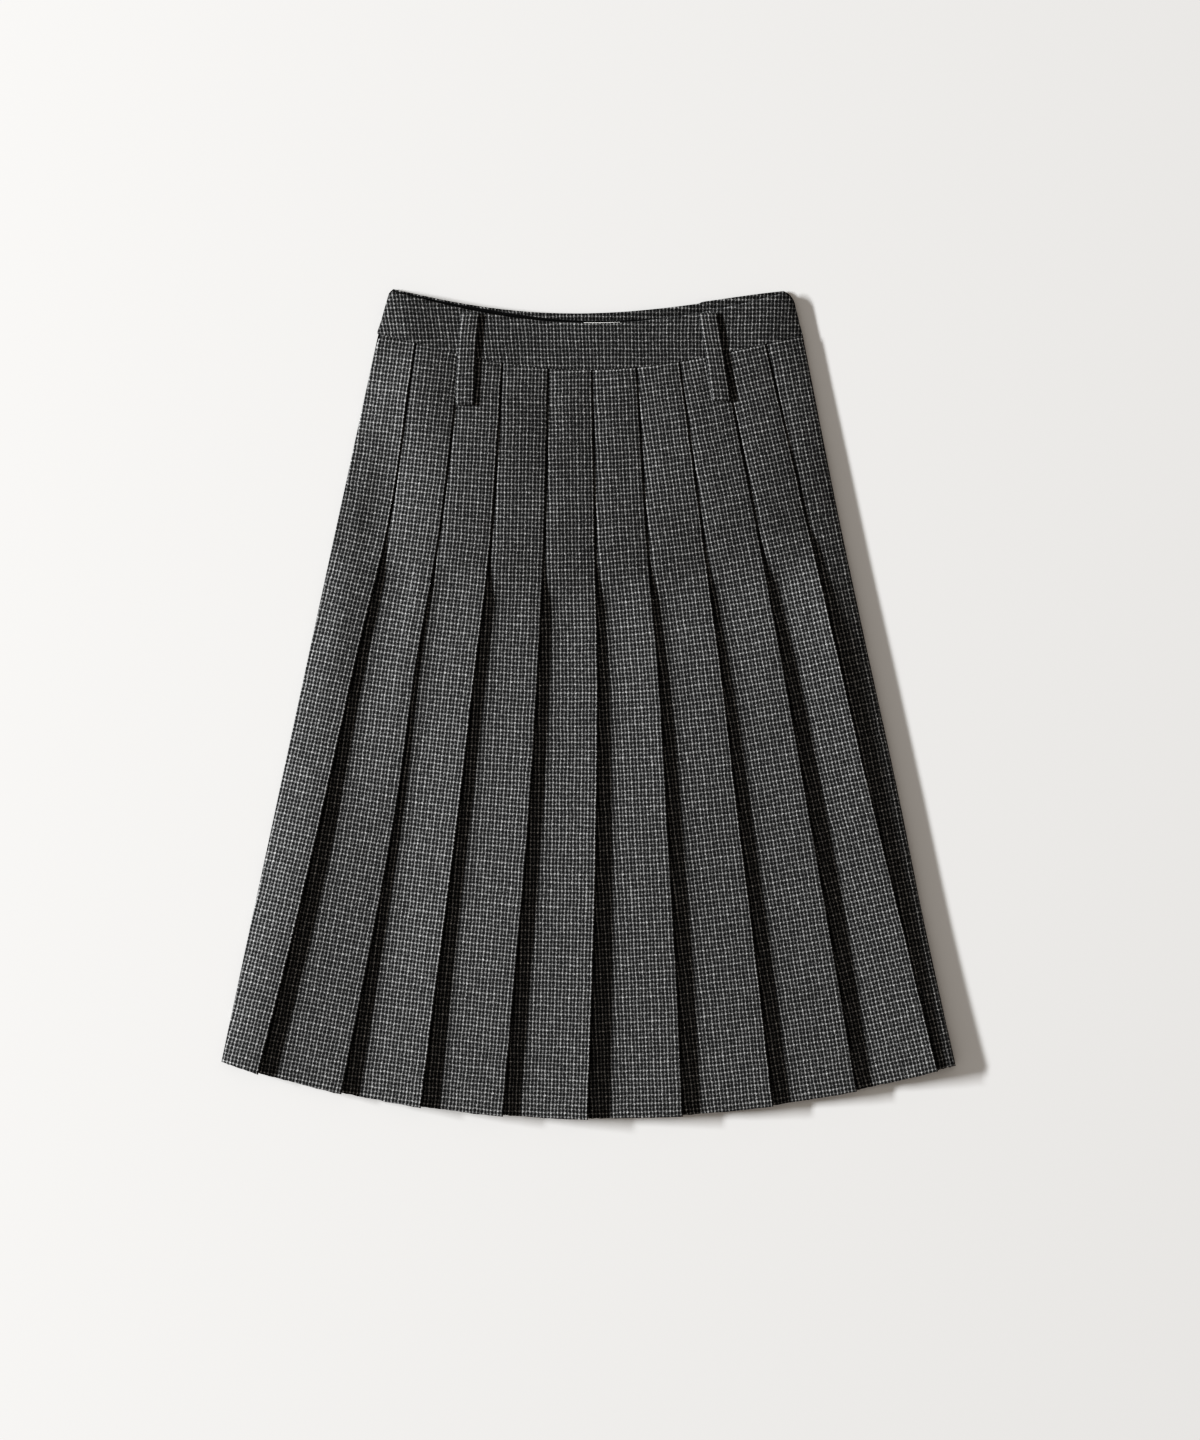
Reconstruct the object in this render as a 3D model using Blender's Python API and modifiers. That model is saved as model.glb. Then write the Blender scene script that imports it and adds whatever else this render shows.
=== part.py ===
"""Pleated midi skirt laid flat on its back, waist towards +Y, front up.

The cloth is a flattened tube of a front and a back, each with nine knife pleats that all turn the
same way round the body. The pleats are stitched down over the hips and hang free below. A waistband,
cut in a front and a back length, closes the top; two belt loops and a bare label are sewn to it.

Every cloth piece is an open surface of section rows with a Solidify wall. A section is the cloth's
centre line in X and Z, followed from the left side seam round every fold to the right side seam.
Tables and section sizes are in millimetres, and the finished points are scaled to metres.
"""

from collections import namedtuple

import bpy
import numpy as np

MM = 0.001

# Cloth
CLOTH = 1.0
GAP = 0.3
PITCH = CLOTH + GAP
BAND_WALL = 2.4
LOOP_WALL = 1.8
LABEL_WALL = 1.0

# Heights of the centre lines of the innermost pleat layers above the surface that the skirt lies on
BACK_INNER = 3.1
FRONT_INNER = BACK_INNER + PITCH

# Pleats: the share of their length that is stitched down, and how soon they open and spring up below
# it; the depth of the hidden underlay, and its most share of the panel that lies over it
RELEASE = 0.255
OPENING = 0.06
SPRING = 0.08
UNDERLAY_TOP = 15.0
UNDERLAY_HEM = 18.0
MOST_TUCK = 0.38

# Panels: the padding of the stitched ones, the straight share of a free one's slope, how high and
# how far out a free one starts from under its neighbour's edge, the bend where a stitched one rises
# beside that edge, and how far from an edge a back panel reaches the surface
CREST = 0.6
STRAIGHT = 0.4
FREE_START = 0.1
FREE_RUN = 1.6
RISER_BEND = 0.6
SETTLE = 14.0

# Side seams: how far below the outer layer their edges round over, stitched and free, and how wide
SIDE_LOW = 0.5
SIDE_FREE_LOW = 1.5
SIDE_TURN = 1.0
SIDE_ROUND = 2.0

# Hem: an arc, lowest near the middle
HEM_LOW = -372.9
HEM_RADIUS = 1127.0
HEM_MIDDLE = 2.3

# Fold edges: X at the waist seam, at the release, further down and at the hem, and how far the
# pressed edge springs up above the innermost layer at the hem. The first and last rows are the sides.
FoldLine = namedtuple("FoldLine", "waist release middle hem spring")
LINE_STATIONS = (0.0, 0.26, 0.62, 1.0)
FOLD_LINES = (
    FoldLine(-190.2, -226.4, -277.7, -330.2, 1.2),
    FoldLine(-156.6, -184.0, -239.0, -301.0, 5.6),
    FoldLine(-117.5, -139.9, -177.3, -226.4, 5.0),
    FoldLine(-78.8, -91.4, -120.3, -150.8, 5.6),
    FoldLine(-38.3, -43.7, -57.6, -79.7, 5.6),
    FoldLine(1.4, 4.1, 5.2, -1.4, 6.2),
    FoldLine(41.0, 50.9, 68.8, 82.4, 5.6),
    FoldLine(80.6, 103.5, 134.2, 164.3, 6.2),
    FoldLine(119.3, 152.6, 195.8, 239.0, 5.8),
    FoldLine(158.9, 197.6, 251.6, 311.0, 8.6),
    FoldLine(192.2, 225.9, 276.8, 330.2, 1.2),
)

# Waist edges: Y at the left side, at each quarter of the width and at the right side
WaistEdge = namedtuple("WaistEdge", "left quarter centre three_quarter right")
QUARTERS = (0.0, 0.25, 0.5, 0.75, 1.0)
FRONT_SEAM = WaistEdge(333.2, 309.8, 300.2, 310.4, 330.5)
BACK_SEAM = WaistEdge(333.2, 319.3, 309.5, 318.8, 330.5)
FRONT_TOP = WaistEdge(372.2, 351.0, 341.8, 350.8, 372.5)
BACK_TOP = WaistEdge(373.0, 356.2, 350.9, 359.4, 372.8)

# Ends of the waistband: X of the left and the right end at shares of the band's height
BandEnd = namedtuple("BandEnd", "height left right")
BAND_ENDS = (
    BandEnd(0.00, -190.6, 192.2),
    BandEnd(0.30, -187.5, 189.0),
    BandEnd(0.60, -184.4, 186.2),
    BandEnd(0.80, -182.2, 184.2),
    BandEnd(0.93, -180.6, 180.5),
    BandEnd(1.00, -177.5, 175.5),
)
BAND_COLUMNS = 25
BAND_TOP_RISE = 3.9
BAND_SEAM_RISE = 6.5
BAND_SIDE_EASE = 32.0

# Belt loops: the middle of the strip at its top, at the waist seam and at its lower end
LoopPoint = namedtuple("LoopPoint", "x y")
LOOP_WIDTH = 16.8
LOOP_ROWS = 9
LOOP_EASE = 22.0
LOOP_BELOW_TOP = 3.0
LOOPS = {
    "belt_loop_left": (
        LoopPoint(-107.3, 350.8),
        LoopPoint(-110.5, 313.0),
        LoopPoint(-112.0, 268.0),
    ),
    "belt_loop_right": (
        LoopPoint(106.3, 351.2),
        LoopPoint(112.7, 313.3),
        LoopPoint(118.9, 272.5),
    ),
}

# Label: it lies between the two lengths of the waistband, its top edge just above the front one
LABEL_X = 11.3
LABEL_WIDTH = 32.4
LABEL_LENGTH = 20.0
LABEL_SHOWS = 1.3
LABEL_LIFT = 1.3
LABEL_MARGIN = 5.0
LABEL_EASE = 28.0

FRONT_ROWS = (0.0, 0.13, 0.255, 0.285, 0.315, 0.38, 0.5, 0.66, 0.83, 1.0)
BACK_ROWS = (0.0, 0.13, 0.255, 0.315, 0.5, 0.75, 1.0)


def through(stations, values, at):
    """The smooth curve through a value at each station, read at a share of the way along."""
    total = 0.0
    for here, value in zip(stations, values):
        weight = 1.0
        for other in stations:
            if other != here:
                weight = weight * (at - other) / (here - other)
        total = total + value * weight
    return total


def ease(share):
    """A smooth step from 0 to 1."""
    share = np.clip(share, 0.0, 1.0)
    return share * share * (3.0 - 2.0 * share)


def line_x(line, share):
    return through(LINE_STATIONS, (line.waist, line.release, line.middle, line.hem), share)


def row_y(seam, sides, share, x):
    """Y of a row that runs from side to side, between the waist seam and the hem arc."""
    left, right = (line_x(side, share) for side in sides)
    across = (x - left) / (right - left)
    hem_x = sides[0].hem + across * (sides[1].hem - sides[0].hem) - HEM_MIDDLE
    hem = HEM_LOW + HEM_RADIUS - np.sqrt(HEM_RADIUS**2 - hem_x**2)
    return (1.0 - share) * through(QUARTERS, seam, across) + share * hem


def front_panel_heights(start, end, span, opened, over, clear):
    """Shares across a panel and its heights there: level and slightly padded where it is stitched
    down, and a slope that steepens towards the sprung edge where it hangs free. From the share
    ``over`` on it lies over its own hidden layers, and clears them from height ``clear`` up."""
    shares = np.array((over / 2.0, over, (1.0 + over) / 2.0))
    free_slope = STRAIGHT * shares + (1.0 - STRAIGHT) * shares**2
    slope = (1.0 - opened) * shares + opened * free_slope
    padding = (1.0 - opened) * CREST * 4.0 * shares * (1.0 - shares)
    heights = start + (end - start) * slope + padding
    heights[1:] = np.maximum(heights[1:], (clear, (clear + end) / 2.0))
    return shares, heights


def back_panel_heights(start, end, span, opened, over, clear):
    """A back panel comes down to the surface soon after the fold that it leaves, and lies there."""
    return np.array((SETTLE / span,)), np.array((end,))


def section(lines, share, sprung, panel_heights):
    """Points (x, height) across one row. Height 0 is the innermost layer of the pleats, and the
    outer layer is two pitches above it, or as high as the pressed edge springs."""
    opened = float(ease((share - RELEASE) / OPENING))
    risen = 1.0 - np.exp(-max(share - RELEASE, 0.0) / SPRING)
    underlay = UNDERLAY_TOP + (UNDERLAY_HEM - UNDERLAY_TOP) * share
    outer = 2.0 * PITCH
    half = CLOTH / 2.0
    turn = PITCH / 2.0
    side = outer - SIDE_LOW - (SIDE_FREE_LOW - SIDE_LOW) * opened * sprung
    left = line_x(lines[0], share)
    points = [(left + half, -half), (left + half, side - SIDE_TURN), (left + SIDE_ROUND, side)]
    for line in lines[1:-1]:
        fold = line_x(line, share)
        start_x, start_height = points[-1]
        end_x = fold - half - turn
        span = end_x - start_x
        height = outer + (line.spring - outer) * risen if sprung else outer
        tuck = fold - min(underlay, MOST_TUCK * span)
        over = (tuck - start_x) / span
        shares, heights = panel_heights(start_height, height, span, opened, over, outer)
        points += list(zip(start_x + shares * span, heights))
        points.append((end_x, height))
        for angle in np.radians((30.0, -30.0)):
            points.append((end_x + turn * np.cos(angle), height - turn + turn * np.sin(angle)))
        points += [(end_x, height - PITCH), (tuck, PITCH), (tuck, 0.0)]
        riser = fold + GAP + half
        emerging = (1.0 - opened) * outer + FREE_START * opened
        bend = (1.0 - opened) * RISER_BEND
        points.append((riser, 0.0))
        points.append((riser + FREE_RUN / 2.0 * opened, max(emerging - bend, 0.0)))
        points.append((riser + RISER_BEND + FREE_RUN * opened, emerging + FREE_START * opened))
    right = line_x(lines[-1], share)
    start_x, start_height = points[-1]
    span = right - SIDE_ROUND - start_x
    shares, heights = panel_heights(start_height, side, span, opened, 0.5, 0.0)
    points += list(zip(start_x + shares * span, heights))
    points += [(right - SIDE_ROUND, side), (right - half, side - SIDE_TURN), (right - half, -half)]
    return np.array(points)


def material(name, colour, roughness):
    finish = bpy.data.materials.new(name)
    finish.use_nodes = True
    shader = finish.node_tree.nodes["Principled BSDF"]
    shader.inputs["Base Color"].default_value = (*colour, 1.0)
    shader.inputs["Roughness"].default_value = roughness
    finish.diffuse_color = (*colour, 1.0)
    return finish


def wall(name, rows, thickness, finish, collection):
    """A cloth piece: a surface through rows of points, with half its wall on each side of them."""
    rows = np.array(rows) * MM
    count, width = rows.shape[:2]
    corner = np.arange(count * width).reshape(count, width)
    faces = np.stack(
        (corner[:-1, :-1], corner[1:, :-1], corner[1:, 1:], corner[:-1, 1:]), axis=-1
    )
    mesh = bpy.data.meshes.new(name)
    mesh.from_pydata(rows.reshape(-1, 3).tolist(), [], faces.reshape(-1, 4).tolist())
    mesh.materials.append(finish)
    piece = bpy.data.objects.new(name, mesh)
    collection.objects.link(piece)
    solidify = piece.modifiers.new("Cloth wall", "SOLIDIFY")
    solidify.thickness = thickness * MM
    solidify.offset = 0.0
    solidify.use_even_offset = True
    solidify.use_quality_normals = True
    return piece


def pleated_rows(seam, lines, shares, sprung, panel_heights, mirrored, inner):
    """Rows of a pleated piece. The back is the front's pattern turned about Y, outer face down."""
    turn = -1.0 if mirrored else 1.0
    rows = []
    for share in shares:
        across, height = section(lines, share, sprung, panel_heights).T
        x = turn * across
        sides = (FOLD_LINES[0], FOLD_LINES[-1])
        y = row_y(seam, sides, share, x) - (GAP / 2.0) * (share == 0.0)
        rows.append(np.stack((x, y, inner + turn * height), axis=-1))
    return rows


def mirrored_side(line):
    return line._replace(waist=-line.waist, release=-line.release, middle=-line.middle, hem=-line.hem)


def front_panel(collection):
    finish = material("Front cloth", (0.10, 0.10, 0.103), 0.9)
    rows = pleated_rows(
        FRONT_SEAM, FOLD_LINES, FRONT_ROWS, True, front_panel_heights, False, FRONT_INNER
    )
    wall("front_panel", rows, CLOTH, finish, collection)


def back_panel(collection):
    finish = material("Back cloth", (0.09, 0.09, 0.093), 0.9)
    first = mirrored_side(FOLD_LINES[-1])
    last = mirrored_side(FOLD_LINES[0])
    lines = (first, *FOLD_LINES[1:-1], last)
    rows = pleated_rows(BACK_SEAM, lines, BACK_ROWS, False, back_panel_heights, True, BACK_INNER)
    wall("back_panel", rows, CLOTH, finish, collection)


def band_place(seam, top, height, across):
    """X and Y on the waistband, from its seam edge at height 0 to its top edge at height 1."""
    heights = [end.height for end in BAND_ENDS]
    left = np.interp(height, heights, [end.left for end in BAND_ENDS])
    right = np.interp(height, heights, [end.right for end in BAND_ENDS])
    low = through(QUARTERS, seam, across) + GAP / 2.0
    high = through(QUARTERS, top, across)
    return left + across * (right - left), low + height * (high - low)


def front_band_rise(height, x):
    """Centre height of the front band: it leans on the pleats at its seam and on the back band at
    its top edge and ends, and the label lifts the top edge."""
    from_end = np.minimum(x - BAND_ENDS[0].left, BAND_ENDS[0].right - x)
    leaning = (BAND_SEAM_RISE - BAND_TOP_RISE) * (1.0 - height) * ease(from_end / BAND_SIDE_EASE)
    beside_label = np.abs(x - LABEL_X) - LABEL_WIDTH / 2.0 - LABEL_MARGIN
    return BAND_TOP_RISE + leaning + LABEL_LIFT * height * (1.0 - ease(beside_label / LABEL_EASE))


def waistband(name, seam, top, rise, collection):
    finish = material(name.replace("_", " ") + " cloth", (0.06, 0.06, 0.06), 0.9)
    across = np.linspace(0.0, 1.0, BAND_COLUMNS)
    rows = []
    for end in BAND_ENDS:
        x, y = band_place(seam, top, end.height, across)
        rows.append(np.stack((x, y, rise(end.height, x) + 0.0 * x), axis=-1))
    wall(name, rows[::-1], BAND_WALL, finish, collection)


def belt_loop(name, points, collection):
    """A strip sewn over the band and the pleats below it, lying a gap above what it crosses."""
    finish = material(name.replace("_", " ") + " cloth", (0.06, 0.06, 0.06), 0.9)
    top, seam, low = points
    ys = np.array([point.y for point in points])
    seam_share = (top.y - seam.y) / (top.y - low.y)
    rows = []
    for share in np.linspace(0.0, 1.0, LOOP_ROWS):
        x = through((0.0, seam_share, 1.0), [point.x for point in points], share)
        y = ys[0] + share * (ys[-1] - ys[0])
        height = np.clip((y - seam.y) / (top.y + LOOP_BELOW_TOP - seam.y), 0.0, 1.0)
        band = front_band_rise(height, x) + BAND_WALL / 2.0
        pleats = FRONT_INNER + 2.0 * PITCH + CLOTH / 2.0 + CREST
        beneath = band + (pleats - band) * ease((seam.y + LOOP_EASE - y) / (LOOP_EASE / 2.0))
        z = beneath + GAP + LOOP_WALL / 2.0
        rows.append([(x + side * LOOP_WIDTH / 2.0, y, z) for side in (-1.0, 0.0, 1.0)])
    wall(name, rows, LOOP_WALL, finish, collection)


def waist_label(collection):
    """A bare woven strip; only its top edge shows above the front band."""
    finish = material("Label weave", (0.8, 0.8, 0.78), 0.8)
    left, right = FOLD_LINES[0].waist, FOLD_LINES[-1].waist
    across = (LABEL_X - left) / (right - left)
    top = through(QUARTERS, FRONT_TOP, across) + LABEL_SHOWS
    bpy.ops.mesh.primitive_cube_add(size=1.0)
    label = bpy.context.object
    label.name = "waist_label"
    label.data.name = "waist_label"
    label.data.materials.append(finish)
    label.scale = (LABEL_WIDTH * MM, LABEL_LENGTH * MM, LABEL_WALL * MM)
    label.location = (
        LABEL_X * MM,
        (top - LABEL_LENGTH / 2.0) * MM,
        (BAND_WALL + GAP + LABEL_WALL / 2.0) * MM,
    )
    bpy.ops.object.transform_apply(location=True, rotation=False, scale=True)
    for owner in list(label.users_collection):
        owner.objects.unlink(label)
    collection.objects.link(label)


def main():
    for thing in list(bpy.data.objects):
        bpy.data.objects.remove(thing)
    skirt = bpy.data.collections.new("Pleated midi skirt")
    bpy.context.scene.collection.children.link(skirt)
    front_panel(skirt)
    back_panel(skirt)
    waistband("waistband_front", FRONT_SEAM, FRONT_TOP, front_band_rise, skirt)
    waistband("waistband_back", BACK_SEAM, BACK_TOP, lambda height, x: BAND_WALL / 2.0, skirt)
    for name, points in LOOPS.items():
        belt_loop(name, points, skirt)
    waist_label(skirt)


main()
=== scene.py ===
"""The looks of a pleated midi skirt laid flat, waist towards +Y, front up.

Every piece is a sheet of cloth. The pleated front and back follow the same fold lines and sections as
the solids that they replace, with round folds, a low swell, soft creases and a hem that hangs a little
lower at each pressed edge. The waistband is a strip folded along its top edge, the belt loops are
narrow strips of doubled cloth, and the label is a bare woven tape. One node group weaves the cloth:
light yarns at even spacings over a charcoal ground, every second one stronger, along each panel's grain.

Sizes are in millimetres and angles in degrees where no comment says otherwise. A share of the way down
the skirt runs from 0 at the waist seam to 1 at the hem.
"""

from collections import namedtuple

import bpy
import numpy as np
from bpy.props import FloatProperty, FloatVectorProperty, PointerProperty
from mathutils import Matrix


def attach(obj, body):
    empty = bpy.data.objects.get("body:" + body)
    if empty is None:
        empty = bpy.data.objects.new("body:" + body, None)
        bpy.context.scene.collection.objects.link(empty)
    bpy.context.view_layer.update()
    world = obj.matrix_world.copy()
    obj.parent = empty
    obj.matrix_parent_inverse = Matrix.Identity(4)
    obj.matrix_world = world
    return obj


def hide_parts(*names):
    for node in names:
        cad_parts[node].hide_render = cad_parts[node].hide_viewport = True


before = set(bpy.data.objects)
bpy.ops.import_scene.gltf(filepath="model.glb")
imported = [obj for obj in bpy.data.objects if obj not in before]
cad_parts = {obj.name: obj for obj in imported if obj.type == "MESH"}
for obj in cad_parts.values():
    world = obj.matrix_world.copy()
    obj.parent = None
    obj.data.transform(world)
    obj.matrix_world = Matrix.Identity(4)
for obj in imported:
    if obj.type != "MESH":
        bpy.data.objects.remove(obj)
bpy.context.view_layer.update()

bl_info = {
    "name": "Pleated midi skirt",
    "version": (1, 0, 0),
    "blender": (4, 5, 0),
    "location": "View3D > Sidebar > Skirt",
    "description": "Makes a pleated wool skirt laid flat, piece by piece",
    "category": "Object",
}

MM = 0.001

# Cloth walls, and the gap between pieces that touch. The label is folded: its two layers lie a pitch
# apart and are a little thinner than that.
CLOTH = 1.0
GAP = 0.3
PITCH = CLOTH + GAP
BAND_WALL = 2.4
BAND_CLOTH = 1.0
BAND_HALF_GAP = (BAND_WALL - BAND_CLOTH) / 2.0
LOOP_CLOTH = 0.7
LABEL_PITCH = 0.5
LABEL_WALL = 0.45

# Heights of the centre lines of the innermost pleat layers above the surface that the skirt lies on
BACK_INNER = 3.1
FRONT_INNER = BACK_INNER + PITCH

# Pleats: the share of their length that is stitched down, and how soon they open and spring up below
RELEASE = 0.255
OPENING = 0.065
SPRING = 0.065

# Hidden underlay: its depth at the waist and at the hem, the most of a panel's width that it takes, and
# where its points lie on its way from its inner fold to the next panel
UNDERLAY_WAIST = 15.0
UNDERLAY_HEM = 18.0
MOST_TUCK = 0.3
UNDERLAY_WAYS = (0.4, 0.75, 1.0)

# The pressed edge is flat for a short way. Behind it the next panel comes up steeply and bends over:
# the bend's size, its corner in shares of that size across and down, and how far its middle points
# stand above an even spacing
NOSE_FLAT = 0.5
RISER_BEND = 0.6
RISER_CORNER = (0.25, 0.3)
RISER_SHIFT = 0.02

# Stitched down, each panel comes out from under the fold on its left one step lower, and soon rises.
# The step is smaller at the waist seam, and grows to its full size within a share of the way down.
STITCHED_STEP = 0.8
WAIST_STEP = 0.5
WAIST_SHARE = 0.09
STITCHED_RISE = 7.0

# Free, it falls away from that fold, lies lowest so many times the fold's height to its right, and
# then rises to its own pressed edge
FREE_LOW = 0.2
FREE_FALL = 0.12
FREE_REACH = 2.6
FREE_ROUND = 0.75

# The last panel leaves its fold high, and falls all the way to the right side seam
LAST_STEP = 2.0

# How much the first and the last panel bow upwards where they are free: 1 is straight
SIDE_BOWS = (1.85, 1.25)

# The back lies on the surface: it comes down to it soon after each fold
BACK_START = 0.1
SETTLE = 14.0

# A free panel clears its own hidden layers: how fast it may rise to do so, and how round it turns
CLEARING_SLOPE = 0.45
CLEARING_ROUND = 0.35

# Side seams: heights of their outer edges at shares of the way down, how much lower the back's are than
# its folds, how round they are, the most of their height that the rounding takes, and how far the left
# one is drawn in right below the waistband, and over what share of the way down
SIDE_STATIONS = (0.0, 0.26, 0.62, 1.0)
LEFT_SIDE = (0.7, 0.4, 0.2, 0.2)
RIGHT_SIDE = (0.3, 1.3, 2.0, 3.9)
BACK_SIDE_LOW = 0.5
SIDE_ROUND = 1.0
MOST_SIDE_ROUND = 0.9
DRAWN_IN = 2.6
DRAWN_SHARE = 0.012

# Hem: an arc, with its lowest point in Y, its radius and X of its middle. Each pressed edge hangs lower
# than the panel beside it, and the yarns along the edge end unevenly, in one seeded draw.
HEM_LOW = -372.9
HEM_RADIUS = 1127.0
HEM_MIDDLE = 2.3
HEM_DROP = 1.1
HEM_YARN = 0.2
HEM_SEED = 11

# Fold edges: X at the waist seam, at the release, where they have opened, further down, low down and
# at the hem; how far the pressed edge springs up just below the release, and how much further by the
# hem; and how padded the panel on its left is where it is stitched. The first and last are the sides.
FoldLine = namedtuple("FoldLine", "waist release opened middle low hem spring lift crest")
LINE_STATIONS = (0.0, 0.26, 0.4, 0.62, 0.82, 1.0)
FOLD_LINES = (
    FoldLine(-190.2, -227.3, -247.2, -278.2, -306.4, -331.6, 0.0, 0.0, 0.0),
    FoldLine(-156.4, -182.9, -205.0, -237.1, -268.0, -297.8, 2.9, -0.1, 0.0),
    FoldLine(-115.6, -136.9, -153.4, -174.4, -199.1, -223.2, -0.9, 4.4, 0.5),
    FoldLine(-78.3, -90.1, -101.3, -118.6, -136.0, -151.6, 1.0, 2.4, 0.2),
    FoldLine(-37.2, -41.5, -46.0, -55.3, -67.0, -77.9, 1.0, 1.7, 0.2),
    FoldLine(2.1, 5.5, 7.6, 6.3, 2.9, -1.4, 1.1, 2.9, 0.2),
    FoldLine(42.2, 53.2, 61.8, 70.6, 78.6, 83.9, 0.7, 2.2, 0.2),
    FoldLine(80.8, 104.2, 116.8, 134.6, 151.3, 165.3, 0.6, 2.2, 0.2),
    FoldLine(119.8, 153.4, 170.8, 196.9, 220.2, 240.4, 1.1, 1.4, 0.2),
    FoldLine(158.6, 198.0, 219.2, 252.6, 284.6, 313.0, 4.7, 0.4, 0.3),
    FoldLine(192.2, 225.9, 245.4, 276.8, 303.3, 329.4, 0.0, 0.0, 0.3),
)

# Swell: how far the front rises at the nine pressed edges, at shares of the way down. It is 0 at the
# side seams.
Swell = namedtuple("Swell", "waist below stitched release opened low hem")
SWELL_STATIONS = (0.0, 0.06, 0.2, 0.3, 0.42, 0.7, 1.0)
SWELLS = (
    Swell(0.0, 5.4, -0.2, -0.8, 0.0, 3.0, 0.7),
    Swell(0.0, 5.2, 6.1, 3.8, 5.7, 2.2, -0.9),
    Swell(0.0, 5.6, 7.0, 5.1, 7.8, 6.0, 0.3),
    Swell(0.0, 3.2, 6.9, 3.3, 7.5, 8.4, 0.8),
    Swell(0.0, 1.5, 5.6, 1.6, 6.0, 8.0, 0.6),
    Swell(0.0, 0.6, 4.8, 1.5, 6.8, 7.8, 0.4),
    Swell(0.0, 0.8, 4.6, 1.2, 5.4, 6.0, 0.1),
    Swell(0.0, -0.2, 4.2, 2.1, 4.4, 4.9, 0.0),
    Swell(0.0, -0.7, 1.9, 0.8, 1.3, 0.5, -0.3),
)

# Waist edges: Y at the left side, at each quarter of the width and at the right side
WaistEdge = namedtuple("WaistEdge", "left quarter centre three_quarter right")
QUARTERS = (0.0, 0.25, 0.5, 0.75, 1.0)
FRONT_SEAM = WaistEdge(333.2, 309.8, 300.2, 310.4, 330.5)
BACK_SEAM = WaistEdge(333.2, 319.3, 309.5, 318.8, 330.5)
FRONT_TOP = WaistEdge(370.8, 350.6, 342.2, 349.4, 369.2)
BACK_TOP = WaistEdge(373.3, 356.1, 351.2, 358.4, 370.4)

# Ends of the waistband: X of the left and the right end at shares of the band's height
BandEnd = namedtuple("BandEnd", "height left right")
BAND_ENDS = (
    BandEnd(0.00, -191.4, 192.2),
    BandEnd(0.30, -187.5, 189.0),
    BandEnd(0.60, -184.4, 186.2),
    BandEnd(0.80, -182.2, 184.2),
    BandEnd(0.93, -180.6, 180.5),
    BandEnd(1.00, -177.5, 175.5),
)

# Waistband: the height of its front length's middle at its ends, top edge and seam, how far in from its
# ends it rises, how round its ends are and how much of their height that takes, how much narrower the layer
# inside the fold is at each end, and how bright its cloth is beside the pleats': a darker copy of the same
# wool, which is painted shade
BAND_END_RISE = 3.9
BAND_TOP_RISE = 5.4
BAND_SEAM_RISE = 6.5
BAND_SIDE_EASE = 32.0
BAND_END_ROUND = 3.0
BAND_END_SHARE = 0.9
BAND_INSET = 1.2
BAND_PAINTED_SHADE = 0.89

# Its depth, and its rows: shares of that depth in the outer layer, and angles round its folded edge
BAND_DEPTH = 41.0
BAND_ROWS = (0.0, 0.02, 0.06, 0.15, 0.3, 0.45, 0.6, 0.7, 0.8, 0.87, 0.93, 0.97, 1.0)
BAND_FOLD_ANGLE = 60.0
BAND_FOLD_ROWS = 5
BAND_COLUMN_COUNT = 97

# The back length of the band stands up a little in the top part of its depth, and its top edge has a
# small step in it
STAND_UP = 2.4
STAND_DEPTH = 0.25
BAND_STEP_X = 98.0
BAND_STEP = 1.2
BAND_STEP_EASE = 5.0

# Inside of the back length: how far below its top edge the painted shade starts, a dark cloth without light
# yarns that stands in for the shadow there, and the rows of the turned-in cloth above it and of the layer
# behind it, in shares of their depth
PaintedShadePoint = namedtuple("PaintedShadePoint", "x below")
PAINTED_SHADE_START = (
    PaintedShadePoint(-178.0, 0.8),
    PaintedShadePoint(-98.0, 1.2),
    PaintedShadePoint(-66.0, 2.8),
    PaintedShadePoint(-27.0, 5.2),
    PaintedShadePoint(10.0, 6.2),
    PaintedShadePoint(45.0, 7.4),
    PaintedShadePoint(82.0, 8.4),
    PaintedShadePoint(112.0, 14.0),
    PaintedShadePoint(176.0, 14.0),
)
PAINTED_SHADE_ROWS = (0.3, 0.6, 0.85, 1.0)
HIDDEN_ROWS = (0.97, 0.85, 0.6, 0.3, 0.0)

# How the lengthwise yarns of the band lean: at its middle, how much more for each mm to the left, and
# the Y about which they lean
BAND_LEAN = 2.6
BAND_LEAN_CHANGE = 0.032
BAND_LEAN_Y = 330.0

# Belt loops: they start to come down from the band to the pleats at one distance above the waist seam
# and are down at half of it. Their tops lie below the band's, their edges are bevelled, and they curve
# up a little across. The table gives their middles at the top, at the waist seam and at the lower end.
LOOP_WIDTH = 16.8
LOOP_EASE = 22.0
LOOP_BELOW_TOP = 3.0
LOOP_EDGE = 0.45
LOOP_CURVE = 0.35
LOOP_ROW_COUNT = 36
LOOP_COLUMN_COUNT = 9
LoopPoint = namedtuple("LoopPoint", "x y")
LOOPS = {
    "left": (LoopPoint(-107.3, 350.8), LoopPoint(-110.5, 313.0), LoopPoint(-112.0, 268.0)),
    "right": (LoopPoint(106.3, 351.2), LoopPoint(112.7, 313.3), LoopPoint(118.9, 272.5)),
}

# Label: it lies between the two lengths of the waistband and shows just above the front one. It lifts
# that one's top edge a little, as far as a margin on each side, and from there the lift fades. Its path
# runs from its lower end to the middle of its folded edge, and goes back the same way one layer up.
LABEL_X = 11.3
LABEL_WIDTH = 32.4
LABEL_SHOWS = 1.0
LABEL_LIFT = 0.5
LABEL_MARGIN = 5.0
LABEL_EASE = 28.0
LABEL_COLUMN_COUNT = 25
TapePoint = namedtuple("TapePoint", "down up")
LABEL_PATH = (
    TapePoint(20.0, 0.0),
    TapePoint(12.0, 0.0),
    TapePoint(4.0, 0.0),
    TapePoint(0.6, 0.0),
    TapePoint(0.1, 0.12),
    TapePoint(0.0, 0.25),
)

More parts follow.
